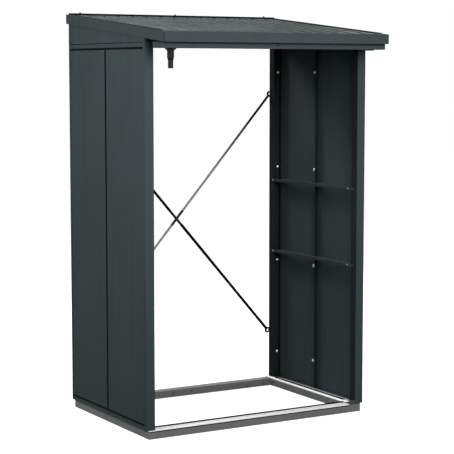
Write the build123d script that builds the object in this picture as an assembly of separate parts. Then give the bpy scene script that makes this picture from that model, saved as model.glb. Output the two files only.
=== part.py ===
from build123d import *
import os
from math import atan2, cos, degrees, hypot

# A metal log store, open at the front and back. Millimetres, +Z up, front towards -Y.
# The origin is on the ground, under the middle of the roof.

# Walls
body_width = 1326
body_depth = 886
front_overhang = 205
back_overhang = 29
post_width = 49
post_depth = 49
post_wrap = 16.5
post_sheet = 1.5
panel_sheet = 1.0
panel_fold = 20
fold_radius = 5
trim_height = 20
trim_sheet = 1.0
trim_web = 21
eaves_height = 1985

# Base frame and floor rails
base_height = 40
base_rail_width = 58
base_wall = 2
base_inset = 15
floor_rail_thickness = 5
groove_width = 5
groove_depth = 2.5
foot_length = 37
foot_height = 20

# Inner rails on the side walls
upper_rail_share = 0.606
lower_rail_share = 0.392
rail_leg = 15
rail_shelf = 26
rail_sheet = 2
rail_front_lap = 26
rail_back_lap = 9

# Roof
roof_front_rise = 51
roof_fall = 114
fascia_height = 50
fascia_sheet = 1.5
fascia_end_gap = 3
front_flange = 40
edge_flange = 16
back_lip = 15
roof_sheet = 1.0
rib_pitch = 86
rib_height = 10
rib_crown = 26
rib_base = 44

# Beams that carry the roof between the posts
header_flange = 30
header_sheet = 1.5
back_header_height = 75

# Gutter under the front overhang
gutter_setback = 26
gutter_depth = 97
gutter_drop = 29
gutter_sheet = 1.5
gutter_lip = 8
gutter_flange = 20
gutter_end_gap = 3
end_cap_thickness = 2.5
cap_recess_margin = 7
cap_recess_height = 20
cap_recess_depth = 1
cap_recess_radius = 5

# Rain outlets in the gutter
outlet_inset = 75
outlet_flange_diameter = 57
outlet_flange_height = 13
outlet_rim = 3
outlet_neck_diameter = 30
outlet_clearance = 0.3
spout_diameter = 34
spout_length = 39
spout_shoulder = 3
hose_diameter = 26
hose_length = 46
spout_bore = 20
drain_cap_height = 5
drain_cap_round = 2

# Cross brace behind the back posts
brace_end_inset = 271
brace_rod_diameter = 11
brace_sleeve_diameter = 15
brace_sleeve_length = 110
brace_sleeve_chamfer = 2
brace_clearance = 0.3
eye_post_lap = 4
eye_diameter = 30
eye_hole = 18
eye_thickness = 4
staple_wire = 4
staple_bend = 3.5

# Planes and places worked out from the sizes above
side = body_width / 2
roof_depth = front_overhang + body_depth + back_overhang
roof_front_height = eaves_height + roof_front_rise
roof_back_height = roof_front_height + roof_fall
front = -roof_depth / 2 + front_overhang
back = front + body_depth
middle = (front + back) / 2
roof_front = -roof_depth / 2
roof_back = roof_depth / 2
slope = roof_fall / roof_depth
slope_cos = cos(atan2(roof_fall, roof_depth))
slope_dir = (0, slope_cos, slope * slope_cos)
sheet_drop = fascia_sheet / slope_cos
under_drop = sheet_drop + rib_height + roof_sheet
post_inner = side - post_width
panel_outer = side - post_sheet
panel_inner = panel_outer - panel_sheet
front_lip_y = front + post_depth
back_lip_y = back - post_depth
base_side = side - base_inset
wall_foot = base_height + floor_rail_thickness
bracket_end = post_inner - foot_length
fascia_foot = roof_front_height - fascia_height
gutter_front = roof_front + gutter_setback
gutter_back = gutter_front + gutter_depth
gutter_foot = fascia_foot - gutter_drop
gutter_end = side - gutter_end_gap
outlet_y = (gutter_front + gutter_back) / 2
outlet_x = side - outlet_inset
trim_middle = eaves_height - trim_height / 2
rib_count = int((body_width - rib_base - 2 * edge_flange) / rib_pitch) + 1
brace_top = eaves_height - brace_end_inset
brace_bottom = wall_foot + brace_end_inset


def roof_top(y):
    return roof_front_height + (y - roof_front) * slope


def roof_under(y):
    return roof_top(y) - under_drop


def place(shape, name):
    export_step(shape, f"parts/{name}.step")


def mirrored(shape):
    return mirror(shape, about=Plane.YZ)


def folded(points, thickness, inside):
    """A sharply folded sheet's section, with its outer line through the points."""
    return make_face(offset(Polyline(*points), amount=thickness, side=inside))


def across(section, half_width):
    """A section, drawn in Y and Z, run from side to side."""
    return extrude(Plane.YZ * section, amount=half_width, both=True)


def sideways(section, start, width):
    """A section, drawn in Y and Z, run along X from its start."""
    return Pos(start, 0, 0) * extrude(Plane.YZ * section, amount=width)


def up_slope(section, start_y, start_z, run):
    """A section, drawn in X and Z, run up the slope of the roof."""
    level = Plane.XZ * section
    return Pos(0, start_y, start_z) * extrude(level, amount=run / slope_cos, dir=slope_dir)


def block(low, high):
    size = [b - a for a, b in zip(low, high)]
    return Pos(*low) * Box(*size, align=Align.MIN)


def below_roof(shape):
    """Cuts a piece off where it meets the underside of the roof sheet."""
    underside = Plane(origin=(0, 0, roof_under(0)), x_dir=(1, 0, 0), z_dir=(0, -slope, 1))
    return split(shape, bisect_by=underside, keep=Keep.BOTTOM)


# Base frame
def mitred_tube(length):
    """A hollow rail along X with mitred ends; its outer side is at Y = 0."""
    def trapezoid(inset):
        near, far = inset, base_rail_width - inset
        half = length / 2
        return Polygon((near - half, near), (half - near, near), (half - far, far), (far - half, far), align=None)
    shell = extrude(trapezoid(0), amount=base_height)
    hollow = extrude(trapezoid(base_wall), amount=base_height - 2 * base_wall)
    return shell - Pos(0, 0, base_wall) * hollow


def base_frame():
    place(Pos(0, front, 0) * mitred_tube(2 * base_side), "base_front_rail")
    place(Pos(0, back, 0) * Rot(0, 0, 180) * mitred_tube(2 * base_side), "base_back_rail")
    right = Pos(base_side, middle, 0) * Rot(0, 0, 90) * mitred_tube(body_depth)
    place(right, "base_right_rail")
    place(mirrored(right), "base_left_rail")


def grooved_strip():
    """Section of a floor rail: a flat bar with a groove along the middle of its top."""
    bar = Rectangle(base_rail_width, floor_rail_thickness, align=(Align.CENTER, Align.MIN))
    groove = Rectangle(groove_width, groove_depth, align=(Align.CENTER, Align.MAX))
    return bar - Pos(0, floor_rail_thickness) * groove


def floor_rails():
    centre = base_rail_width / 2
    threshold = Pos(front + centre, base_height) * grooved_strip()
    place(sideways(threshold, -base_side, base_side + bracket_end), "front_threshold")
    start = front + base_rail_width
    sides = (("right", base_side - centre, back), ("left", centre - base_side, back - base_rail_width))
    for name, x, end in sides:
        strip = extrude(Plane.XZ * grooved_strip(), amount=end - start)
        place(Pos(x, end, base_height) * strip, f"{name}_floor_rail")


def foot_bracket():
    """A plate under the foot of a post, where the floor rail stops, with an upstand beside the post."""
    plate = block((bracket_end, front, base_height), (base_side, front + base_rail_width, wall_foot))
    upstand = block((bracket_end, front, wall_foot), (post_inner, front + post_sheet, wall_foot + foot_height))
    return plate + upstand


# Side walls, drawn for the right-hand side
def corner_post():
    """Front post: a folded box section that the wall panel closes."""
    points = [
        (side, front + post_wrap),
        (side, front),
        (post_inner, front),
        (post_inner, front_lip_y),
        (panel_inner, front_lip_y),
    ]
    section = folded(points, post_sheet, Side.RIGHT)
    return extrude(Pos(0, 0, wall_foot) * section, amount=roof_back_height)


def wall_panel():
    """Front panel: tucked into the post and folded inwards at the middle seam."""
    outline = FilletPolyline(
        (panel_outer, front + post_sheet),
        (panel_outer, middle),
        (panel_outer - panel_fold, middle),
        radius=fold_radius,
    )
    section = make_face(offset(outline, amount=panel_sheet, side=Side.LEFT))
    foot = wall_foot + trim_sheet
    head = trim_middle - trim_sheet / 2
    return extrude(Pos(0, 0, foot) * section, amount=head - foot)


def to_back(shape):
    """Turns a front piece of a wall into the matching back piece."""
    return mirror(shape, about=Plane(origin=(0, middle, 0), x_dir=(1, 0, 0), z_dir=(0, 1, 0)))


def trim_strip(foot, web_foot):
    """A cover strip on the outside of the panels, with a web that they stand on."""
    outer = panel_outer + trim_sheet
    face = block((panel_outer, front + post_wrap, foot), (outer, back - post_wrap, foot + trim_height))
    web = block((outer - trim_web, front_lip_y, web_foot), (outer, back_lip_y, web_foot + trim_sheet))
    return face + web


def gable_panel():
    """The upper part of the side wall, which follows the fall of the roof."""
    foot = trim_middle + trim_sheet / 2
    near, far = front + post_sheet, back - post_sheet
    outline = Polygon((near, foot), (far, foot), (far, roof_under(far)), (near, roof_under(near)), align=None)
    return sideways(outline, panel_inner, panel_sheet)


def inner_rail(share):
    """An angle on the inner faces of the posts, which keeps the logs off the panels."""
    top = wall_foot + share * (eaves_height - wall_foot)
    leg = block(
        (post_inner - rail_sheet, front_lip_y - rail_front_lap, top - rail_leg),
        (post_inner, back_lip_y + rail_back_lap, top),
    )
    shelf = block((post_inner, front_lip_y, top - rail_sheet), (post_inner + rail_shelf, back_lip_y, top))
    return leg + shelf


def side_walls():
    post = corner_post()
    panel = wall_panel()
    right_hand = {
        "front_post": below_roof(post),
        "back_post": below_roof(to_back(post)),
        "front_panel": panel,
        "back_panel": to_back(panel),
        "bottom_trim": trim_strip(wall_foot, wall_foot),
        "top_trim": trim_strip(eaves_height - trim_height, trim_middle - trim_sheet / 2),
        "gable_panel": gable_panel(),
        "upper_rail": inner_rail(upper_rail_share),
        "lower_rail": inner_rail(lower_rail_share),
    }
    for name, shape in right_hand.items():
        place(shape, f"right_{name}")
        place(mirrored(shape), f"left_{name}")
    place(foot_bracket(), "right_foot_bracket")
    place(Pos(0, 2 * middle, 0) * Rot(0, 0, 180) * foot_bracket(), "left_foot_bracket")


# Roof
def rib_line():
    """The roof sheet's upper line across the store, ribs and flats."""
    line = [(-side, -rib_height)]
    for i in range(rib_count):
        centre = (i - (rib_count - 1) / 2) * rib_pitch
        line += [
            (centre - rib_base / 2, -rib_height),
            (centre - rib_crown / 2, 0),
            (centre + rib_crown / 2, 0),
            (centre + rib_base / 2, -rib_height),
        ]
    return line + [(side, -rib_height)]


def ribbed_sheet():
    """The ribbed sheet, run up the slope from the drip edge to the back fascia."""
    upper = rib_line()
    lower = [(x, z - roof_sheet) for x, z in reversed(upper)]
    start = roof_front + front_flange
    run = roof_back - fascia_sheet - start
    section = make_face(Polyline(*upper, *lower, close=True))
    return up_slope(section, start, roof_top(start) - sheet_drop, run)


def side_fascia():
    """Right-hand edge trim, an angle that runs up the slope; its flange stops at the other two."""
    outer = side + fascia_sheet
    inner = outer - edge_flange
    section = folded([(outer, -fascia_height), (outer, 0), (inner, 0)], fascia_sheet, Side.LEFT)
    angle = up_slope(section, roof_front, roof_front_height, roof_depth)
    notch = Pos((inner + side) / 2, 0) * Rectangle(side - inner, fascia_height)
    back_start = roof_back - edge_flange - fascia_sheet
    angle -= up_slope(notch, roof_front, roof_front_height, front_flange + fascia_sheet)
    return angle - up_slope(notch, back_start, roof_top(back_start), roof_back - back_start)


def front_fascia():
    """Front edge trim; its upper flange covers the sheet's drip edge."""
    flange_end = roof_front + front_flange
    points = [
        (gutter_front + gutter_sheet, fascia_foot),
        (roof_front, fascia_foot),
        (roof_front, roof_front_height),
        (flange_end, roof_top(flange_end)),
    ]
    return across(folded(points, fascia_sheet, Side.RIGHT), side - fascia_end_gap)


def back_fascia():
    flange_end = roof_back - edge_flange
    foot = roof_back_height - fascia_height
    points = [
        (roof_back - back_lip, foot),
        (roof_back, foot),
        (roof_back, roof_back_height),
        (flange_end, roof_top(flange_end)),
    ]
    return across(folded(points, fascia_sheet, Side.LEFT), side - fascia_end_gap)


def front_header():
    """Channel between the front posts, close under the roof sheet."""
    flange_end = front + header_flange
    points = [
        (flange_end, eaves_height),
        (front, eaves_height),
        (front, roof_under(front)),
        (flange_end, roof_under(flange_end)),
    ]
    return across(folded(points, header_sheet, Side.RIGHT), post_inner)


def back_header():
    flange_end = back - header_flange
    foot = roof_under(back) - back_header_height
    points = [
        (flange_end, foot),
        (back, foot),
        (back, roof_under(back)),
        (flange_end, roof_under(flange_end)),
    ]
    return across(folded(points, header_sheet, Side.LEFT), post_inner)


def roof():
    fascia = side_fascia()
    place(ribbed_sheet(), "roof_sheet")
    place(fascia, "right_fascia")
    place(mirrored(fascia), "left_fascia")
    place(front_fascia(), "front_fascia")
    place(back_fascia(), "back_fascia")
    place(front_header(), "front_header")
    place(back_header(), "back_header")


# Gutter and rain outlets
def gutter_trough():
    """An open trough hung from the front fascia and the roof sheet; its lip turns outwards."""
    flange_drop = gutter_sheet / slope_cos
    flange_end = gutter_back + gutter_flange
    lip_foot = fascia_foot - gutter_sheet
    points = [
        (gutter_front - gutter_lip, lip_foot),
        (gutter_front, lip_foot),
        (gutter_front, gutter_foot),
        (gutter_back, gutter_foot),
        (gutter_back, roof_under(gutter_back) - flange_drop),
        (flange_end, roof_under(flange_end) - flange_drop),
    ]
    trough = across(folded(points, gutter_sheet, Side.LEFT), gutter_end - end_cap_thickness)
    hole = Cylinder(outlet_neck_diameter / 2 + outlet_clearance, gutter_drop)
    for x in (-outlet_x, outlet_x):
        trough -= Pos(x, outlet_y, gutter_foot) * hole
    return trough


def gutter_end_cap():
    """Right-hand end of the gutter, with a shallow pressed panel."""
    plate = block((gutter_end - end_cap_thickness, gutter_front, gutter_foot), (gutter_end, gutter_back, fascia_foot))
    panel = RectangleRounded(gutter_depth - 2 * cap_recess_margin, cap_recess_height, cap_recess_radius)
    centre = gutter_foot + cap_recess_margin + cap_recess_height / 2
    return plate - sideways(Pos(outlet_y, centre) * panel, gutter_end, -cap_recess_depth)


def turned(outline):
    """A round piece from its half outline, as radius and height pairs."""
    return revolve(Plane.XZ * make_face(Polyline(*outline, close=True)), axis=Axis.Z)


def drain_spout():
    """Outlet with a conical flange, a stepped pipe and a neck through the gutter."""
    neck, flange = outlet_neck_diameter / 2, outlet_flange_diameter / 2
    pipe, hose, bore = spout_diameter / 2, hose_diameter / 2, spout_bore / 2
    pipe_top = -outlet_flange_height
    step = pipe_top - spout_length
    outline = [
        (bore, gutter_sheet),
        (neck, gutter_sheet),
        (neck, 0),
        (flange, 0),
        (flange, -outlet_rim),
        (pipe, pipe_top),
        (pipe, step + spout_shoulder),
        (hose, step),
        (hose, step - hose_length),
        (bore, step - hose_length),
    ]
    return Pos(-outlet_x, outlet_y, gutter_foot) * turned(outline)


def drain_cap():
    """Flat cap that closes the outlet at the other end."""
    neck, flange = outlet_neck_diameter / 2, outlet_flange_diameter / 2
    outline = [
        (0, gutter_sheet),
        (neck, gutter_sheet),
        (neck, 0),
        (flange, 0),
        (flange, drain_cap_round - drain_cap_height),
        (flange - drain_cap_round, -drain_cap_height),
        (0, -drain_cap_height),
    ]
    return Pos(outlet_x, outlet_y, gutter_foot) * turned(outline)


def gutter():
    cap = gutter_end_cap()
    place(gutter_trough(), "gutter")
    place(cap, "gutter_right_end_cap")
    place(mirrored(cap), "gutter_left_end_cap")
    place(drain_spout(), "drain_spout")
    place(drain_cap(), "drain_cap")


# Cross brace
eye_x = post_inner + eye_post_lap
brace_middle = (brace_top + brace_bottom) / 2
brace_angle = degrees(atan2(brace_top - brace_bottom, 2 * eye_x))
brace_span = hypot(brace_top - brace_bottom, 2 * eye_x)
near_rod_gap = brace_rod_diameter / 2 + brace_clearance
far_rod_gap = near_rod_gap + brace_sleeve_diameter + brace_clearance


def brace_rod():
    """A round rod along X with a flat eye at each end."""
    rod = Rot(0, 90, 0) * Cylinder(brace_rod_diameter / 2, brace_span - eye_diameter + eye_thickness)
    disc = Rot(90, 0, 0) * Cylinder(eye_diameter / 2, eye_thickness)
    hole = Rot(90, 0, 0) * Cylinder(eye_hole / 2, brace_rod_diameter)
    ends = Locations((-brace_span / 2, 0, 0), (brace_span / 2, 0, 0)).locations
    for end in ends:
        rod += end * disc
    for end in ends:
        rod -= end * hole
    return rod


def brace_sleeve():
    """The tube that couples a rod at the crossing."""
    tube = Cylinder(brace_sleeve_diameter / 2, brace_sleeve_length)
    tube = chamfer(tube.edges().filter_by(GeomType.CIRCLE), brace_sleeve_chamfer)
    return Rot(0, 90, 0) * (tube - Cylinder(brace_rod_diameter / 2 + brace_clearance, brace_sleeve_length))


def staple(rod_gap):
    """A bent wire through the eye at a rod's end; its legs stand on the back of the post."""
    inner = (brace_span + eye_hole - staple_wire) / 2 - brace_clearance
    outer = (brace_span + eye_diameter + staple_wire) / 2 + brace_clearance
    bow = eye_thickness / 2 + staple_bend
    path = FilletPolyline(
        (inner, -rod_gap, 0),
        (inner, bow, 0),
        (outer, bow, 0),
        (outer, -rod_gap, 0),
        radius=staple_bend,
    )
    section = Plane(origin=(inner, -rod_gap, 0), z_dir=(0, 1, 0)) * Circle(staple_wire / 2)
    return sweep(section, path=path)


def cross_brace():
    right, left = [], []
    for name, gap, turn in (("rising", near_rod_gap, -brace_angle), ("falling", far_rod_gap, brace_angle)):
        seat = Pos(0, back + gap, brace_middle) * Rot(0, turn, 0)
        place(seat * brace_rod(), f"{name}_brace_rod")
        place(seat * brace_sleeve(), f"{name}_brace_sleeve")
        right.append(seat * staple(gap))
        left.append(seat * mirrored(staple(gap)))
    place(Compound(right), "right_brace_staples")
    place(Compound(left), "left_brace_staples")


os.makedirs("parts", exist_ok=True)
base_frame()
floor_rails()
side_walls()
roof()
gutter()
cross_brace()
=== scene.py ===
import bmesh
import bpy
import math
from mathutils import Matrix, Vector


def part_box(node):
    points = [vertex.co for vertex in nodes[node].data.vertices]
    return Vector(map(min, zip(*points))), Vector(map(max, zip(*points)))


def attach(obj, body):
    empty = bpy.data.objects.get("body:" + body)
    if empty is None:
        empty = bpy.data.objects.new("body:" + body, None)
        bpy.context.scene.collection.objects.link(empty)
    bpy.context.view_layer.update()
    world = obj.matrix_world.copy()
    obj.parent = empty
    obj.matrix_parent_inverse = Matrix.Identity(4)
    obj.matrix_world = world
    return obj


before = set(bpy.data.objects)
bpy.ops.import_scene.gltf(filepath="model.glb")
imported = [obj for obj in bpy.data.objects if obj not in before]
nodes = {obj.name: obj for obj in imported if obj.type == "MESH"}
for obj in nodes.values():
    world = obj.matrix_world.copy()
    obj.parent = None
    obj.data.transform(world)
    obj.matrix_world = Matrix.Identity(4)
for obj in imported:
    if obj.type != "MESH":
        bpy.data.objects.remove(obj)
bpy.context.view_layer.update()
scene = bpy.context.scene

# Camera, fitted to the corners of the store in the picture
CAMERA_AT = (-4.0923, -6.9914, 1.8435)
CAMERA_TURN = -30.43
CAMERA_PITCH = 5.863
LENS = 120.05
SENSOR = 36.0

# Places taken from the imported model; the two sides are alike, so the right-hand pieces serve both
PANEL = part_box("right_front_panel")
FRONT_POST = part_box("right_front_post")
BACK_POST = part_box("right_back_post")
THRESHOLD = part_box("front_threshold")
BASE_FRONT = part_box("base_front_rail")
BASE_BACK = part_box("base_back_rail")
BASE_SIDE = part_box("base_right_rail")
ROOF_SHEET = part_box("roof_sheet")
BACK_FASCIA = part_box("back_fascia")
RIGHT_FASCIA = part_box("right_fascia")
BOTTOM_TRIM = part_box("right_bottom_trim")
TOP_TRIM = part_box("right_top_trim")

# Sizes of the sheets and rails that the boxes don't give
RAIL_WIDTH = THRESHOLD[1].y - THRESHOLD[0].y
PANEL_SHEET = 0.001
FASCIA_SHEET = 0.0015
TRIM_HEIGHT = 0.020
ROOF_SLOPE = 0.114 / 1.120
RIB_COUNT = 15
RIB_PITCH = 0.086
RIB_HEIGHT = 0.010
RIB_CROWN = 0.026
RIB_BASE = 0.044
EDGE_FLANGE = 0.016
FRONT_FLANGE = 0.040


# Node helpers
def add(tree, kind, **values):
    node = tree.nodes.new(kind)
    for key, value in values.items():
        setattr(node, key, value)
    return node


def link(tree, source, target):
    tree.links.new(source, target)


def noise(tree, where, scale, detail=3.0, rough=0.55):
    node = add(tree, "ShaderNodeTexNoise")
    node.inputs["Scale"].default_value = scale
    node.inputs["Detail"].default_value = detail
    node.inputs["Roughness"].default_value = rough
    link(tree, where, node.inputs["Vector"])
    return node.outputs["Fac"]


def spread(tree, source, low, high, start=0.3, end=0.7):
    node = add(tree, "ShaderNodeMapRange")
    node.inputs["From Min"].default_value = start
    node.inputs["From Max"].default_value = end
    node.inputs["To Min"].default_value = low
    node.inputs["To Max"].default_value = high
    link(tree, source, node.inputs["Value"])
    return node.outputs["Result"]


def math_node(tree, operation, a, b):
    node = add(tree, "ShaderNodeMath", operation=operation)
    for socket, value in zip(node.inputs, (a, b)):
        if isinstance(value, (int, float)):
            socket.default_value = value
        else:
            link(tree, value, socket)
    return node.outputs["Value"]


def blend_colours(tree, factor, a, b):
    node = add(tree, "ShaderNodeMix", data_type="RGBA")
    link(tree, factor, node.inputs["Factor"])
    for socket, value in ((node.inputs[6], a), (node.inputs[7], b)):
        if isinstance(value, tuple):
            socket.default_value = (*value, 1.0)
        else:
            link(tree, value, socket)
    return node.outputs[2]


def bump(tree, height, strength, distance, before=None):
    node = add(tree, "ShaderNodeBump")
    node.inputs["Strength"].default_value = strength
    node.inputs["Distance"].default_value = distance
    link(tree, height, node.inputs["Height"])
    if before is not None:
        link(tree, before, node.inputs["Normal"])
    return node.outputs["Normal"]


def new_material(name):
    material = bpy.data.materials.new(name)
    material.use_nodes = True
    tree = material.node_tree
    shader = tree.nodes["Principled BSDF"]
    where = add(tree, "ShaderNodeTexCoord").outputs["Object"]
    return material, tree, shader, where


def stretched(tree, where, scale):
    node = add(tree, "ShaderNodeMapping")
    node.inputs["Scale"].default_value = scale
    link(tree, where, node.inputs["Vector"])
    return node.outputs["Vector"]


def joint_openness(tree, reach):
    """How open a spot is: 0 deep in a joint, 1 on a free face."""
    node = add(tree, "ShaderNodeAmbientOcclusion", samples=8)
    node.inputs["Distance"].default_value = reach
    return node.outputs["AO"]


def axis_of(tree, vector, axis):
    node = add(tree, "ShaderNodeSeparateXYZ")
    link(tree, vector, node.inputs["Vector"])
    return node.outputs[axis]


def scaled(colour, factor):
    return tuple(factor * c for c in colour)


# Materials
def facing_inwards(tree, where, normal):
    """How far a face looks towards the upright line through the middle of the store, from 0 to 1."""
    shares = []
    for axis, middle in (("X", 0.0), ("Y", PANEL[1].y)):
        off_middle = math_node(tree, "SUBTRACT", axis_of(tree, where, axis), middle)
        outward = math_node(tree, "SIGN", off_middle, 0.0)
        shares.append(math_node(tree, "MULTIPLY", axis_of(tree, normal, axis), outward))
    return math_node(tree, "MULTIPLY", math_node(tree, "MINIMUM", *shares), -1.0)


def coated_sheet(name, colour, dark, rough, specular, reach=0.03, dust=None, bank_tone=None, fold_at=None,
                 inner_tone=None, splash=None):
    """Painted sheet: faint clouding, fine grain in the coat, rain streaks, and painted shade where sheets
    meet.

    The dust colour lies on what faces up, partly dust and partly painted light; the banks of ribs are
    darkened by the bank share as painted shade;
    nearer to the middle than the fold line the sheet is a fold, darkened as painted shade;
    the faces towards the inside of the store are darkened by the inner share, as painted shade;
    the foot share makes the sheet darker towards its foot, thinning out upwards, as painted shade."""
    material, tree, shader, where = new_material(name)
    cloud = spread(tree, noise(tree, where, 2.2), 0.0, 1.0)
    colour_now = blend_colours(tree, cloud, scaled(colour, 0.94), scaled(colour, 1.05))
    speck = spread(tree, noise(tree, where, 700.0, 2.0), 0.0, 0.10)
    colour_now = blend_colours(tree, speck, colour_now, scaled(colour, 1.5))
    streak = noise(tree, stretched(tree, where, (9.0, 9.0, 0.55)), 2.4, 4.0)
    colour_now = blend_colours(tree, spread(tree, streak, 0.0, 0.12, 0.5, 0.75), colour_now, dark)
    normal = add(tree, "ShaderNodeNewGeometry").outputs["Normal"]
    # Up-facing faces take the dust colour: partly dust, partly painted light from above
    if dust is not None:
        facing_up = axis_of(tree, normal, "Z")
        patchy = math_node(tree, "MULTIPLY", spread(tree, facing_up, 0.0, 1.0, 0.80, 0.97),
                           spread(tree, noise(tree, where, 6.0, 5.0), 0.75, 1.0))
        colour_now = blend_colours(tree, patchy, colour_now, dust)
    # Painted shade: the sloping banks of the ribs are darkened, standing in for the shade on them
    if bank_tone is not None:
        facing_up = axis_of(tree, normal, "Z")
        banked = math_node(tree, "MULTIPLY", spread(tree, facing_up, 0.0, bank_tone, 0.3, 0.5),
                           spread(tree, facing_up, 1.0, 0.0, 0.75, 0.90))
        colour_now = blend_colours(tree, banked, colour_now, dark)
    # Painted shade: the inner fold of the panel is darkened, standing in for the shade on its flank
    if fold_at is not None:
        off_centre = math_node(tree, "ABSOLUTE", axis_of(tree, where, "X"), 0.0)
        folded = spread(tree, off_centre, 0.85, 0.0, fold_at - 0.0003, fold_at + 0.0003)
        colour_now = blend_colours(tree, folded, colour_now, dark)
    if inner_tone is not None:
        # Painted shade: faces looking into the store are darkened
        inside = spread(tree, facing_inwards(tree, where, normal), 0.0, inner_tone, 0.4, 0.8)
        colour_now = blend_colours(tree, inside, colour_now, dark)
    # Painted shade: the colour darkens towards the foot
    if splash is not None:
        wet = spread(tree, axis_of(tree, where, "Z"), splash, 0.0, 0.1, 1.3)
        colour_now = blend_colours(tree, wet, colour_now, dark)
    # Painted shade: the colour darkens where ambient occlusion finds sheets meeting or a recess
    grime = spread(tree, joint_openness(tree, reach), 0.9, 0.0, 0.1, 0.75)
    colour_now = blend_colours(tree, grime, colour_now, dark)
    link(tree, colour_now, shader.inputs["Base Color"])
    smear = noise(tree, where, 5.5, 5.0)
    link(tree, spread(tree, smear, rough - 0.05, rough + 0.08), shader.inputs["Roughness"])
    shader.inputs["Specular IOR Level"].default_value = specular
    waves = bump(tree, noise(tree, where, 3.0, 1.0), 0.10, 0.004)
    peel = bump(tree, noise(tree, where, 420.0, 2.0), 0.16, 0.0006, waves)
    link(tree, peel, shader.inputs["Normal"])
    return material


def drawn_aluminium(name, colour, rough, dull_beyond=None):
    """Extruded bar: fine die lines along its length and a few duller patches.

    Farther from the middle than the given line, by the wall, it is darker: painted shade of the wall."""
    material, tree, shader, where = new_material(name)
    lines = noise(tree, where, 260.0, 3.0)
    patch = noise(tree, where, 7.0, 4.0)
    tone = blend_colours(tree, spread(tree, patch, 0.0, 1.0), scaled(colour, 0.95), colour)
    if dull_beyond is not None:
        # Painted shade: the outer part of the rail, by the wall, is darkened
        off_centre = math_node(tree, "ABSOLUTE", axis_of(tree, where, "X"), 0.0)
        washed = spread(tree, off_centre, 0.0, 1.0, dull_beyond - 0.002, dull_beyond + 0.002)
        tone = blend_colours(tree, washed, tone, scaled(colour, 0.42))
    # Painted shade: the colour darkens towards grey where ambient occlusion finds a joint or recess
    grime = spread(tree, joint_openness(tree, 0.030), 0.8, 0.0, 0.35, 0.85)
    link(tree, blend_colours(tree, grime, tone, (0.12, 0.12, 0.12)), shader.inputs["Base Color"])
    link(tree, spread(tree, lines, rough - 0.06, rough + 0.08), shader.inputs["Roughness"])
    shader.inputs["Metallic"].default_value = 0.10
    link(tree, bump(tree, lines, 0.12, 0.0004), shader.inputs["Normal"])
    return material


def zinc_steel(name, colour, dark, rough, metallic):
    """Galvanised steel: small crystals in two greys with dull spots."""
    material, tree, shader, where = new_material(name)
    cells = add(tree, "ShaderNodeTexVoronoi")
    cells.inputs["Scale"].default_value = 220.0
    link(tree, where, cells.inputs["Vector"])
    crystal = add(tree, "ShaderNodeSeparateColor")
    link(tree, cells.outputs["Color"], crystal.inputs["Color"])
    tone = blend_colours(tree, crystal.outputs["Red"], scaled(colour, 0.82), colour)
    dull = spread(tree, noise(tree, where, 30.0, 4.0), 0.0, 0.5, 0.5, 0.7)
    link(tree, blend_colours(tree, dull, tone, dark), shader.inputs["Base Color"])
    polish = spread(tree, crystal.outputs["Green"], rough - 0.05, rough + 0.1, 0.0, 1.0)
    link(tree, polish, shader.inputs["Roughness"])
    shader.inputs["Metallic"].default_value = metallic
    link(tree, bump(tree, crystal.outputs["Blue"], 0.08, 0.0003), shader.inputs["Normal"])
    return material


def moulded(name, colour, rough, specular=0.12):
    """Moulded plastic, rubber or lacquer with a fine grain and uneven polish."""
    material, tree, shader, where = new_material(name)
    grain = noise(tree, where, 900.0, 2.0)
    patch = noise(tree, where, 14.0, 4.0)
    tone = blend_colours(tree, spread(tree, patch, 0.0, 1.0), scaled(colour, 0.8), scaled(colour, 1.25))
    link(tree, tone, shader.inputs["Base Color"])
    link(tree, spread(tree, patch, rough - 0.06, rough + 0.08), shader.inputs["Roughness"])
    shader.inputs["Specular IOR Level"].default_value = specular
    link(tree, bump(tree, grain, 0.2, 0.0004), shader.inputs["Normal"])
    return material


def dipped_rod(name, bare, lacquer, bare_below, black_above):
    """A black rod with a painted highlight: grey below, running out to black along its height."""
    material, tree, shader, where = new_material(name)
    height = axis_of(tree, where, "Z")
    edge = math_node(tree, "ADD", height, spread(tree, noise(tree, where, 60.0, 3.0), -0.02, 0.02))
    patch = spread(tree, noise(tree, where, 90.0, 4.0), 0.0, 1.0)
    tone = blend_colours(tree, patch, scaled(bare, 0.8), scaled(bare, 1.15))
    # Painted highlight: the grey share fades to black between the two heights
    share = spread(tree, edge, 0.0, 1.0, bare_below, black_above)
    link(tree, blend_colours(tree, share, tone, lacquer), shader.inputs["Base Color"])
    shader.inputs["Roughness"].default_value = 0.65
    shader.inputs["Specular IOR Level"].default_value = 0.04
    link(tree, bump(tree, noise(tree, where, 300.0, 2.0), 0.15, 0.0003), shader.inputs["Normal"])
    return material


# Colours, and how the finishes differ
ANTHRACITE = (0.039, 0.051, 0.053)
ANTHRACITE_DARK = (0.004, 0.006, 0.006)
FASCIA_DUST = (0.040, 0.044, 0.044)
# The roof's up-facing colour is lighter than the coat: dust together with painted light from above
ROOF_DUST = (0.046, 0.055, 0.055)
BASE_GREY = (0.112, 0.114, 0.111)
BASE_SIDE_GREY = (0.135, 0.137, 0.134)
BASE_DARK = (0.02, 0.02, 0.02)
MILL_ALUMINIUM = (0.95, 0.95, 0.95)
DULL_ZINC, DULL_ZINC_SPOT = (0.20, 0.21, 0.21), (0.08, 0.08, 0.08)
BRIGHT_ZINC, BRIGHT_ZINC_SPOT = (0.97, 0.97, 0.98), (0.80, 0.80, 0.80)
BLACK = (0.004, 0.004, 0.004)
PLASTIC_BLACK = (0.006, 0.006, 0.006)
RUBBER_BLACK = (0.003, 0.003, 0.003)
# The foam's grey is made lighter to make up for the shade under the flange: painted light
GREY_FOAM = (0.080, 0.092, 0.093)
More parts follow.
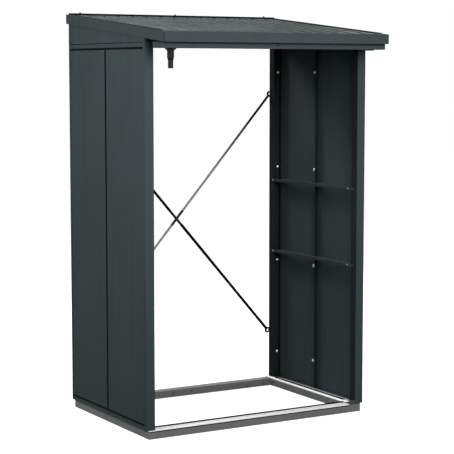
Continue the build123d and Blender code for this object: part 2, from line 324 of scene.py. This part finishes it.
# Painted highlight on the rising rod: grey low down, black above
ROD_GREY = (0.24, 0.24, 0.24)
ROD_GREY_BELOW, ROD_BLACK_ABOVE = 1.25, 1.57
PANEL_FOLD_DEPTH = 0.0016
groove_middle = sum(corner.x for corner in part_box("right_floor_rail")) / 2


def painted(name, colour=ANTHRACITE, rough=0.60, specular=0.005, **more):
    """The matt anthracite coat of the walls and the roof."""
    return coated_sheet(name, colour, ANTHRACITE_DARK, rough, specular, **more)


wall_coat = painted("wall_coat")
panel_coat = painted("panel_coat", fold_at=PANEL[1].x - PANEL_FOLD_DEPTH, splash=0.12)
# The posts' long occlusion reach spreads the painted shade over their tops, standing in for the shadow
# under the gutter
post_coat = painted("post_coat", reach=0.12, inner_tone=0.75, splash=0.24)
# The inner rails' coat is the anthracite darkened by a quarter, as painted shade
rail_coat = painted("rail_coat", scaled(ANTHRACITE, 0.75))
fascia_coat = painted("fascia_coat", rough=0.70, reach=0.012, dust=FASCIA_DUST)
roof_coat = painted("roof_coat", rough=0.50, specular=0.0085, reach=0.012, dust=ROOF_DUST, bank_tone=0.58)
base_coat = coated_sheet("base_coat", BASE_GREY, BASE_DARK, 0.55, 0.08, reach=0.010)
# The side rails' coat is a lighter copy of the base coat, as painted light for their shaded faces
base_side_coat = coated_sheet("base_side_coat", BASE_SIDE_GREY, BASE_DARK, 0.55, 0.08, reach=0.010)
# Painted light and shade: one aluminium in two copies, the threshold's toned down to two thirds and the
# floor rails' near white, standing in for the light each gets
aluminium = drawn_aluminium("mill_aluminium", scaled(MILL_ALUMINIUM, 0.66), 0.40)
rail_aluminium = drawn_aluminium("rail_aluminium", MILL_ALUMINIUM, 0.40, dull_beyond=groove_middle)
dull_zinc = zinc_steel("dull_zinc", DULL_ZINC, DULL_ZINC_SPOT, rough=0.42, metallic=1.0)
# The bolts' zinc is near white and barely metallic: bright zinc with a painted glint
bright_zinc = zinc_steel("bright_zinc", BRIGHT_ZINC, BRIGHT_ZINC_SPOT, rough=0.30, metallic=0.05)
black_steel = moulded("black_steel", BLACK, 0.50, 0.06)
black_plastic = moulded("black_plastic", PLASTIC_BLACK, 0.48, 0.10)
rubber = moulded("black_rubber", RUBBER_BLACK, 0.80, 0.02)
grey_foam = moulded("grey_foam", GREY_FOAM, 0.85, 0.02)
rod_finish = dipped_rod("rod_finish", ROD_GREY, BLACK, ROD_GREY_BELOW, ROD_BLACK_ABOVE)

FASCIAS = ("front_fascia", "back_fascia", "left_fascia", "right_fascia")


def finish_of(name):
    if name in ("base_left_rail", "base_right_rail"):
        return base_side_coat
    if name.startswith("base_"):
        return base_coat
    if name.endswith("floor_rail"):
        return rail_aluminium
    if name == "front_threshold":
        return aluminium
    if name.startswith("drain_") or name.endswith("brace_sleeve"):
        return black_plastic
    if name == "rising_brace_rod":
        return rod_finish
    if name == "falling_brace_rod" or name.endswith("brace_staples"):
        return black_steel
    if name.endswith("front_panel") or name.endswith("back_panel"):
        return panel_coat
    if name.endswith("_post"):
        return post_coat
    if name.endswith("upper_rail") or name.endswith("lower_rail"):
        return rail_coat
    if name == "roof_sheet":
        return roof_coat
    return fascia_coat if name in FASCIAS else wall_coat


for name, piece in nodes.items():
    piece.data.materials.clear()
    piece.data.materials.append(finish_of(name))


# Fasteners, and dark strips that stand in for shade lines (painted shade)
class Pile:
    """Collects small shapes in one mesh, placed in the store's frame."""

    def __init__(self, name, material, slot):
        self.name, self.material, self.slot = name, material, slot
        self.mesh = bmesh.new()

    def rings(self, place, rings, hollow=False):
        """Joins rings of (x, y, z) points into a closed skin; a hollow one ends where it began."""
        rows = [[self.mesh.verts.new(place @ Vector(p)) for p in ring] for ring in rings]
        count = len(rows[0])
        for low, high in zip(rows, rows[1:] + rows[:1] if hollow else rows[1:]):
            for i in range(count):
                j = (i + 1) % count
                self.mesh.faces.new((low[i], low[j], high[j], high[i]))
        if not hollow:
            self.mesh.faces.new(list(reversed(rows[0])))
            self.mesh.faces.new(rows[-1])

    def turned(self, place, outline, sides=24, hollow=False):
        """A turned shape from (radius, height) pairs; sides of 6 gives a hexagon."""
        angles = [2 * math.pi * (i + 0.5) / sides for i in range(sides)]
        rings = [[(r * math.cos(a), r * math.sin(a), h) for a in angles] for r, h in outline]
        self.rings(place, rings, hollow)

    def done(self, body="root", smooth_angle=35.0):
        bmesh.ops.recalc_face_normals(self.mesh, faces=self.mesh.faces[:])
        limit = math.radians(smooth_angle)
        for edge in self.mesh.edges:
            edge.smooth = len(edge.link_faces) == 2 and edge.calc_face_angle(0.0) < limit
        for face in self.mesh.faces:
            face.smooth = True
        data = bpy.data.meshes.new(self.name)
        self.mesh.to_mesh(data)
        self.mesh.free()
        data.materials.append(self.material)
        piece = bpy.data.objects.new(self.name, data)
        scene.collection.objects.link(piece)
        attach(piece, body)
        return piece


def facing(at, direction, roll=0.0):
    """A place at a point whose Z looks along a direction."""
    turn = Vector(direction).normalized().to_track_quat("Z", "Y").to_matrix().to_4x4()
    return Matrix.Translation(at) @ turn @ Matrix.Rotation(roll, 4, "Z")


# Outlines of turned fasteners, as (radius, height) pairs
NUT_WASHER = ((0.0084, 0.0), (0.0088, 0.0004), (0.0088, 0.0012), (0.0083, 0.0016))
NUT_HEXAGON = ((0.0059, 0.0016), (0.0064, 0.0021), (0.0064, 0.0042), (0.0056, 0.0048))
NUT_STUD = ((0.0030, 0.0048), (0.0030, 0.0056), (0.0023, 0.0062))
ROOF_WASHER = ((0.0078, 0.0), (0.0078, 0.0020), (0.0068, 0.0032))
ROOF_COLLAR = ((0.0058, 0.0032), (0.0058, 0.0052), (0.0050, 0.0058))
ROOF_HEAD = ((0.0050, 0.0058), (0.0050, 0.0120), (0.0041, 0.0130))


def nut_on_washer(pile, at, direction, size=1.0, roll=0.3):
    place = facing(at, direction, roll) @ Matrix.Scale(size, 4)
    pile.turned(place, NUT_WASHER)
    pile.turned(place, NUT_HEXAGON, 6)
    pile.turned(place, NUT_STUD, 16)


def cross_screw(pile, at, direction, radius=0.005, height=0.0026, roll=0.4):
    """A pan head with a cross-shaped recess."""
    place = facing(at, direction, roll)
    sides = 24
    rings = []
    for share, level in ((1.0, 0.0), (1.0, 0.35), (0.92, 0.72), (0.75, 0.95), (0.62, 1.0)):
        rings.append([(radius * share, height * level)] * sides)
    arm = [0.55 if i % 6 == 0 else (0.50 if i % 6 in (1, 5) else 0.17) for i in range(sides)]
    rings.append([(radius * a, height) for a in arm])
    rings.append([(radius * 0.85 * a, height * 0.35) for a in arm])
    points = []
    for ring in rings:
        turn = [2 * math.pi * i / sides for i in range(sides)]
        points.append([(r * math.cos(t), r * math.sin(t), h) for (r, h), t in zip(ring, turn)])
    pile.rings(place, points)


def roofing_screw(pile, at, direction, roll=0.2):
    place = facing(at, direction, roll)
    pile.turned(place, ROOF_WASHER)
    pile.turned(place, ROOF_COLLAR)
    pile.turned(place, ROOF_HEAD, 6)


def bead(pile, start, end, width, height, up, sides=7):
    """A half-round strip from one point to another, standing on a face."""
    run = Vector(end) - Vector(start)
    along = run.normalized()
    upward = Vector(up)
    across = along.cross(upward)
    angles = [math.pi * i / sides for i in range(sides + 1)]
    section = [(math.cos(a) * width / 2, math.sin(a) * height) for a in angles]
    rings = []
    for share in (0.0, 0.25, 0.5, 0.75, 1.0):
        base = Vector(start) + run * share
        rings.append([tuple(base + across * w + upward * h) for w, h in section])
    pile.rings(Matrix.Identity(4), rings)


# Bolts in the walls
BOLT_LEVELS = (0.199, 0.745, 1.292, 1.839)
BOLT_FROM_SEAM = 0.038
LIP_BOLT_X = 0.640
LIP_NUT = 0.75
RAIL_SCREW = 0.0055
RAIL_SCREW_FRONT, RAIL_SCREW_BACK = 0.057, 0.005

# Dark strips in the floor rails' grooves, standing in for the grooves' shade (painted shade)
STRIP_OFFSET = 0.0015
STRIP_WIDTH, STRIP_HEIGHT = 0.0220, 0.0016
STRIP_FRONT, STRIP_BACK = 0.064, 0.030
STRIP_SCREW, STRIP_SCREW_HEIGHT = 0.0105, 0.0040

# Dark strips at the panels' trims, seam and post lips, and under the walls' foot, standing in for shade
# lines (painted shade)
SEAL_HEIGHT = 0.0010
TRIM_SEAL = 0.011
EAVES_SEAL = 0.004
SEAM_SEAL = 0.0180
SEAL_GAP = 0.0001
LIP_SEAL, LIP_SEAL_HEIGHT = 0.0110, 0.0014
LIP_SEAL_INSET = 0.0058
LIP_SEAL_FOOT = 0.066
FOOT_SEAL_HEIGHT = 0.003

seam_y = PANEL[1].y
panel_inside = PANEL[1].x - PANEL_SHEET
seam_bolt_y = seam_y + BOLT_FROM_SEAM
near_end, far_end = BOTTOM_TRIM[0].y, BOTTOM_TRIM[1].y

for side, sign in (("left", -1.0), ("right", 1.0)):
    inward = (-sign, 0.0, 0.0)
    outward = (sign, 0.0, 0.0)
    upward = (0.0, 0.0, 1.0)
    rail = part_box(f"{side}_floor_rail")

    bolts = Pile(f"{side}_wall_bolts", bright_zinc, "brace_steel")
    for level in BOLT_LEVELS:
        nut_on_washer(bolts, (sign * panel_inside, seam_bolt_y, level), inward)
        nut_on_washer(bolts, (sign * LIP_BOLT_X, BACK_POST[0].y, level), (0.0, -1.0, 0.0), LIP_NUT)
        nut_on_washer(bolts, (sign * LIP_BOLT_X, FRONT_POST[1].y, level), (0.0, 1.0, 0.0), LIP_NUT)
    bolts.done()

    screws = Pile(f"{side}_rail_screws", dull_zinc, "brace_steel")
    for inner_rail in ("upper_rail", "lower_rail"):
        low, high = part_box(f"right_{inner_rail}")
        for y in (low.y + RAIL_SCREW_FRONT, high.y - RAIL_SCREW_BACK):
            cross_screw(screws, (sign * low.x, y, (low.z + high.z) / 2), inward, RAIL_SCREW)
    screws.done()

    # Painted shade: a wide black strip over the groove, where the groove is only shade
    floor_strip = Pile(f"{side}_floor_strip", rubber, "black_plastic")
    groove_x = (rail[0].x + rail[1].x) / 2
    strip_x = groove_x + sign * STRIP_OFFSET
    ends = (rail[0].y + STRIP_FRONT, min(rail[1].y, BACK_POST[0].y) - STRIP_BACK)
    for y in ends:
        cross_screw(floor_strip, (groove_x, y, rail[1].z), upward, STRIP_SCREW, STRIP_SCREW_HEIGHT)
    strip_ends = [(strip_x, y, rail[1].z) for y in ends]
    bead(floor_strip, *strip_ends, STRIP_WIDTH, STRIP_HEIGHT, upward)
    floor_strip.done()

    # Painted shade: black strips along the trims, the seam and the post lips, where the lines are only
    # shade
    seals = Pile(f"{side}_panel_seals", rubber, "black_plastic")
    face = sign * PANEL[1].x
    trim_foot, trim_top = TOP_TRIM[1].z - TRIM_HEIGHT, TOP_TRIM[1].z
    level_seals = (
        (trim_foot - TRIM_SEAL / 2, TRIM_SEAL),
        (BOTTOM_TRIM[1].z + TRIM_SEAL / 2, TRIM_SEAL),
        (trim_top + EAVES_SEAL / 2, EAVES_SEAL),
    )
    for level, width in level_seals:
        bead(seals, (face, near_end, level), (face, far_end, level), width, SEAL_HEIGHT, outward)
    seam_foot = BOTTOM_TRIM[1].z + TRIM_SEAL + SEAL_GAP
    seam_top = trim_foot - TRIM_SEAL - SEAL_GAP
    bead(seals, (face, seam_y, seam_foot), (face, seam_y, seam_top), SEAM_SEAL, SEAL_HEIGHT, outward)
    lip_x = sign * (panel_inside - LIP_SEAL_INSET)
    for lip_y, away in ((BACK_POST[0].y, (0.0, -1.0, 0.0)), (FRONT_POST[1].y, (0.0, 1.0, 0.0))):
        lip_ends = [(lip_x, lip_y, z) for z in (LIP_SEAL_FOOT, trim_foot)]
        bead(seals, *lip_ends, LIP_SEAL, LIP_SEAL_HEIGHT, away)
    seals.done()

    # Painted shade: a black strip on the base rail's outer face under the wall, standing in for the shadow
    # line there
    foot_seal = Pile(f"{side}_foot_seal", rubber, "black_plastic")
    rail_face = sign * BASE_SIDE[1].x
    foot_level = (rail[0].z + rail[1].z) / 2
    foot_height = rail[1].z - rail[0].z
    foot_ends = [(rail_face, corner.y, foot_level) for corner in rail]
    bead(foot_seal, *foot_ends, foot_height, FOOT_SEAL_HEIGHT, outward)
    foot_seal.done()

# Roof screws, foam, and dark edge strips standing in for shade lines (painted shade)
ROOF_SCREWS_X = (-0.585, 0.0, 0.585)
ROOF_SCREW_INSET = 0.008
ROOF_SCREW_SINK = 0.0008
roof_screws = Pile("roof_screws", black_plastic, "black_plastic")
for x in ROOF_SCREWS_X:
    at = (x, BACK_FASCIA[1].y - ROOF_SCREW_INSET, BACK_FASCIA[1].z - ROOF_SCREW_SINK)
    roofing_screw(roof_screws, at, (0.0, -ROOF_SLOPE, 1.0))
roof_screws.done()


def foam_closures():
    """Grey foam in the roof sheet's valleys, under the flange of the back fascia."""
    pile = Pile("roof_foam_closures", grey_foam, "black_plastic")
    gap = 0.0004
    start = BACK_FASCIA[1].y - EDGE_FLANGE
    end = BACK_FASCIA[1].y - FASCIA_SHEET - gap
    top = BACK_FASCIA[1].z - FASCIA_SHEET - gap
    bank = (RIB_BASE - RIB_CROWN) / 2
    middles = [(i - (RIB_COUNT - 1) / 2) * RIB_PITCH for i in range(RIB_COUNT)]
    edge = ROOF_SHEET[1].x - gap
    spans = [(a + RIB_BASE / 2, b - RIB_BASE / 2, bank, bank) for a, b in zip(middles, middles[1:])]
    spans += [(-edge, middles[0] - RIB_BASE / 2, 0.0, bank), (middles[-1] + RIB_BASE / 2, edge, bank, 0.0)]
    depth = RIB_HEIGHT - gap
    for left, right, left_bank, right_bank in spans:
        rings = []
        for y in (start, (start + end) / 2, end):
            level = top - (BACK_FASCIA[1].y - y) * ROOF_SLOPE
            rings.append([(left + gap, y, level - depth), (right - gap, y, level - depth),
                          (right + right_bank - gap, y, level), (left - left_bank + gap, y, level)])
        pile.rings(Matrix.Identity(4), rings)
    pile.done()


foam_closures()


def roof_edge_seals():
    """Black strips on the inner edges of the roof's side and back flanges, standing in for shade lines:
    painted shade.
    """
    pile = Pile("roof_edge_seals", rubber, "black_plastic")
    up = Vector((0.0, -ROOF_SLOPE, 1.0)).normalized()
    width, height = 0.006, 0.0085
    back_y = BACK_FASCIA[1].y - EDGE_FLANGE + width / 2
    half = BACK_FASCIA[1].x - width

    def on_slope(x, y):
        return (x, y, BACK_FASCIA[1].z - (BACK_FASCIA[1].y - y) * ROOF_SLOPE)

    bead(pile, on_slope(-half, back_y), on_slope(half, back_y), width, height, up)
    side_x = RIGHT_FASCIA[1].x - EDGE_FLANGE + width / 2
    near_y = RIGHT_FASCIA[0].y + FRONT_FLANGE + width
    for sign in (-1.0, 1.0):
        side_ends = [on_slope(sign * side_x, y) for y in (near_y, back_y - width)]
        bead(pile, *side_ends, width, height / 2, up)
    pile.done()


roof_edge_seals()

# Dark strips on the threshold's inner edge and under its front edge, standing in for shade lines (painted
# shade)
EDGE_SEAL, EDGE_SEAL_HEIGHT = 0.004, 0.0070
EDGE_SEAL_INSET = 0.0021
FRONT_SEAL, FRONT_SEAL_HEIGHT = 0.005, 0.0012
FRONT_SEAL_DROP = 0.0026
threshold_seals = Pile("threshold_seals", rubber, "black_plastic")
left_end, right_end = THRESHOLD[0].x, THRESHOLD[1].x
post_gap = FRONT_POST[0].x
inner_edge = THRESHOLD[1].y - EDGE_SEAL_INSET
edge_ends = [(x, inner_edge, THRESHOLD[1].z) for x in (-post_gap, right_end)]
bead(threshold_seals, *edge_ends, EDGE_SEAL, EDGE_SEAL_HEIGHT, (0.0, 0.0, 1.0))
front_level = BASE_FRONT[1].z - FRONT_SEAL_DROP
front_ends = [(x, BASE_FRONT[0].y, front_level) for x in (left_end, right_end)]
bead(threshold_seals, *front_ends, FRONT_SEAL, FRONT_SEAL_HEIGHT, (0.0, -1.0, 0.0))
threshold_seals.done()

# Covers on the brace rods, and split rings in and round their eyes
EYE_RADIUS = 0.015
EYE_HOLE = 0.009
SLEEVE_HALF = 0.055
COVER_INSIDE = 0.0058
RISING_COVER, UPPER_COVER, LOWER_COVER = 0.0068, 0.0078, 0.0085
COVER_EDGE = 0.0008
COVER_FROM_SLEEVE, COVER_FROM_EYE = 0.0005, 0.004
RING_GAP = 0.0003
INNER_RING, INNER_RING_HALF, INNER_RING_OPENING = 0.0075, 0.0025, math.radians(28.0)
OUTER_RING, OUTER_RING_HALF, OUTER_RING_OPENING = 0.0185, 0.0028, math.radians(65.0)


def rod_line(name, rises):
    """The middles of a rod's two eyes, left one first."""
    low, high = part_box(name)
    y = (low.y + high.y) / 2
    bottom, top = low.z + EYE_RADIUS, high.z - EYE_RADIUS
    left, right = (bottom, top) if rises else (top, bottom)
    return Vector((low.x + EYE_RADIUS, y, left)), Vector((high.x - EYE_RADIUS, y, right))


def rod_cover(pile, start, end, outside):
    length = (end - start).length
    inside, edge = COVER_INSIDE, COVER_EDGE
    outline = [(inside, 0.0), (outside - edge, 0.0), (outside, edge)]
    outline += [(outside, length * share) for share in (0.25, 0.5, 0.75)]
    outline += [(outside, length - edge), (outside - edge, length), (inside, length)]
    pile.turned(facing(start, end - start), outline, 20, True)


def split_ring(pile, eye, outward, outer, inner, half, gap):
    """A ring in or round an eye; its gap clears the staple, which passes on the side away from the rod."""
    steps = 24
    angles = [gap + (2 * math.pi - 2 * gap) * i / steps for i in range(steps + 1)]
    outline = [(outer * math.cos(a), outer * math.sin(a)) for a in angles]
    outline += [(inner * math.cos(a), inner * math.sin(a)) for a in reversed(angles)]
    along = outward.normalized()
    across = Vector((0.0, 1.0, 0.0)).cross(along)
    rings = []
    for y in (-half, 0.0, half):
        rings.append([tuple(eye + Vector((0.0, y, 0.0)) + along * u + across * v) for u, v in outline])
    pile.rings(Matrix.Identity(4), rings)


bushes = Pile("brace_eye_bushes", rubber, "black_plastic")
for name, rises, finish, lower, upper in (
        ("rising_brace_rod", True, rod_finish, RISING_COVER, RISING_COVER),
        ("falling_brace_rod", False, rubber, LOWER_COVER, UPPER_COVER)):
    left_eye, right_eye = rod_line(name, rises)
    along = (right_eye - left_eye).normalized()
    middle = (left_eye + right_eye) / 2
    to_sleeve = along * (SLEEVE_HALF + COVER_FROM_SLEEVE)
    to_rod = along * (EYE_RADIUS + COVER_FROM_EYE)
    covers = Pile(name.replace("brace_rod", "rod_covers"), finish, "black_plastic")
    rod_cover(covers, left_eye + to_rod, middle - to_sleeve, lower if rises else upper)
    rod_cover(covers, middle + to_sleeve, right_eye - to_rod, upper if rises else lower)
    covers.done()
    for eye, outward in ((left_eye, -along), (right_eye, along)):
        in_hole, round_eye = EYE_HOLE - RING_GAP, EYE_RADIUS + RING_GAP
        split_ring(bushes, eye, outward, in_hole, INNER_RING, INNER_RING_HALF, INNER_RING_OPENING)
        split_ring(bushes, eye, outward, OUTER_RING, round_eye, OUTER_RING_HALF, OUTER_RING_OPENING)
bushes.done()

# Ring on the spout, screws in the gutter and the base
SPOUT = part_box("drain_spout")
HOSE_LENGTH = 0.046
RING_INSIDE, RING_THICK, RING_HALF, RING_DROP = 0.0133, 0.0012, 0.0022, 0.0026
GUTTER_SCREW_LEVEL, GUTTER_SCREW, GUTTER_SCREW_HEIGHT = 1.9745, 0.005, 0.0022
BASE_SCREW, BASE_SCREW_HEIGHT = 0.0042, 0.0010
BACK_SCREWS = ((-0.542, 0.012), (-0.427, 0.012), (-0.060, 0.020),
               (0.058, 0.020), (0.427, 0.012), (0.542, 0.012))
SIDE_SCREWS = ((0.449, 0.019), (0.306, 0.021), (-0.178, 0.022))
drain_ring = Pile("drain_ring", rubber, "black_plastic")
spout_x, spout_y = (SPOUT[0].x + SPOUT[1].x) / 2, (SPOUT[0].y + SPOUT[1].y) / 2
ring_section = [(RING_INSIDE + RING_THICK * (1.0 - math.cos(a)), RING_HALF * math.sin(a) - RING_DROP)
                for a in (2 * math.pi * i / 12 for i in range(12))]
drain_ring.turned(Matrix.Translation((spout_x, spout_y, SPOUT[0].z + HOSE_LENGTH)), ring_section, 32, True)
drain_ring.done()

gutter_screw = Pile("gutter_screw", black_steel, "black_plastic")
gutter_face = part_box("gutter_left_end_cap")[0].y
screw_at = (0.0, gutter_face, GUTTER_SCREW_LEVEL)
cross_screw(gutter_screw, screw_at, (0.0, -1.0, 0.0), GUTTER_SCREW, GUTTER_SCREW_HEIGHT)
gutter_screw.done()

base_screws = Pile("base_screws", black_steel, "black_plastic")
back_face = BASE_BACK[1].y - RAIL_WIDTH
side_face = BASE_SIDE[1].x - RAIL_WIDTH
for x, z in BACK_SCREWS:
    cross_screw(base_screws, (x, back_face, z), (0.0, -1.0, 0.0), BASE_SCREW, BASE_SCREW_HEIGHT)
for sign in (-1.0, 1.0):
    for y, z in SIDE_SCREWS:
        cross_screw(base_screws, (sign * side_face, y, z), (-sign, 0.0, 0.0), BASE_SCREW, BASE_SCREW_HEIGHT)
base_screws.done()


# Studio: pale floor, white surroundings, soft light
def light_path_seen(tree):
    path = add(tree, "ShaderNodeLightPath")
    seen = math_node(tree, "MAXIMUM", path.outputs["Is Camera Ray"], path.outputs["Is Glossy Ray"])
    return math_node(tree, "MAXIMUM", seen, path.outputs["Is Transmission Ray"])


FLOOR_SIZE = 40.0
FLOOR_GLOW = 0.88
FLOOR_TONE = 0.31
FLOOR_BOUNCE = 0.11
SKY_FRONT = 0.70
SKY_BACK = 0.12


def make_floor():
    data = bpy.data.meshes.new("floor")
    half = FLOOR_SIZE / 2
    corners = [(-half, -half, 0.0), (half, -half, 0.0), (half, half, 0.0), (-half, half, 0.0)]
    data.from_pydata(corners, [], [(0, 1, 2, 3)])
    floor = bpy.data.objects.new("floor", data)
    floor.location.z = -0.0006
    scene.collection.objects.link(floor)
    material = bpy.data.materials.new("floor_paper")
    material.use_nodes = True
    tree = material.node_tree
    tree.nodes.clear()
    paper = add(tree, "ShaderNodeBsdfDiffuse")
    seen = light_path_seen(tree)
    link(tree, spread(tree, seen, FLOOR_BOUNCE, FLOOR_TONE, 0.0, 1.0), paper.inputs["Color"])
    glow = add(tree, "ShaderNodeEmission")
    link(tree, math_node(tree, "MULTIPLY", seen, FLOOR_GLOW), glow.inputs["Strength"])
    both = add(tree, "ShaderNodeAddShader")
    link(tree, paper.outputs[0], both.inputs[0])
    link(tree, glow.outputs[0], both.inputs[1])
    out = add(tree, "ShaderNodeOutputMaterial")
    link(tree, both.outputs[0], out.inputs["Surface"])
    data.materials.append(material)


def make_world():
    """White where it is seen; as light it is softer behind the store than before it."""
    world = bpy.data.worlds.new("studio")
    world.use_nodes = True
    tree = world.node_tree
    background = tree.nodes["Background"]
    background.inputs["Color"].default_value = (1.0, 1.0, 1.0, 1.0)
    depth = axis_of(tree, add(tree, "ShaderNodeTexCoord").outputs["Generated"], "Y")
    strength = add(tree, "ShaderNodeMapRange")
    link(tree, spread(tree, depth, SKY_FRONT, SKY_BACK, -0.5, 0.5), strength.inputs["To Min"])
    strength.inputs["To Max"].default_value = 1.0
    link(tree, light_path_seen(tree), strength.inputs["Value"])
    link(tree, strength.outputs["Result"], background.inputs["Strength"])
    scene.world = world


def area_light(name, at, target, size, watts):
    data = bpy.data.lights.new(name, "AREA")
    data.shape = "DISK"
    data.size = size
    data.energy = watts
    lamp = bpy.data.objects.new(name, data)
    lamp.location = at
    lamp.rotation_euler = (Vector(target) - Vector(at)).to_track_quat("-Z", "Y").to_euler()
    scene.collection.objects.link(lamp)


make_floor()
make_world()
area_light("front_lamp", (-0.9, -4.4, 3.0), (0.0, 0.0, 1.5), 2.4, 216.0)
area_light("left_lamp", (-3.8, -0.5, 2.9), (-0.6, 0.1, 1.4), 1.6, 102.0)
area_light("right_lamp", (4.4, 3.0, 3.0), (0.2, 0.2, 1.1), 2.6, 150.0)
area_light("back_lamp", (-0.75, 4.0, 5.2), (0.2, 0.1, 0.3), 1.8, 400.0)
area_light("top_lamp", (-0.4, 0.2, 5.2), (-0.2, 0.0, 2.1), 2.4, 20.0)

# Camera
camera_data = bpy.data.cameras.new("camera")
camera_data.sensor_width = SENSOR
camera_data.lens = LENS
camera = bpy.data.objects.new("camera", camera_data)
camera.location = CAMERA_AT
camera.rotation_euler = (math.radians(90.0 - CAMERA_PITCH), 0.0, math.radians(CAMERA_TURN))
scene.collection.objects.link(camera)
scene.camera = camera
scene.view_settings.view_transform = "Standard"
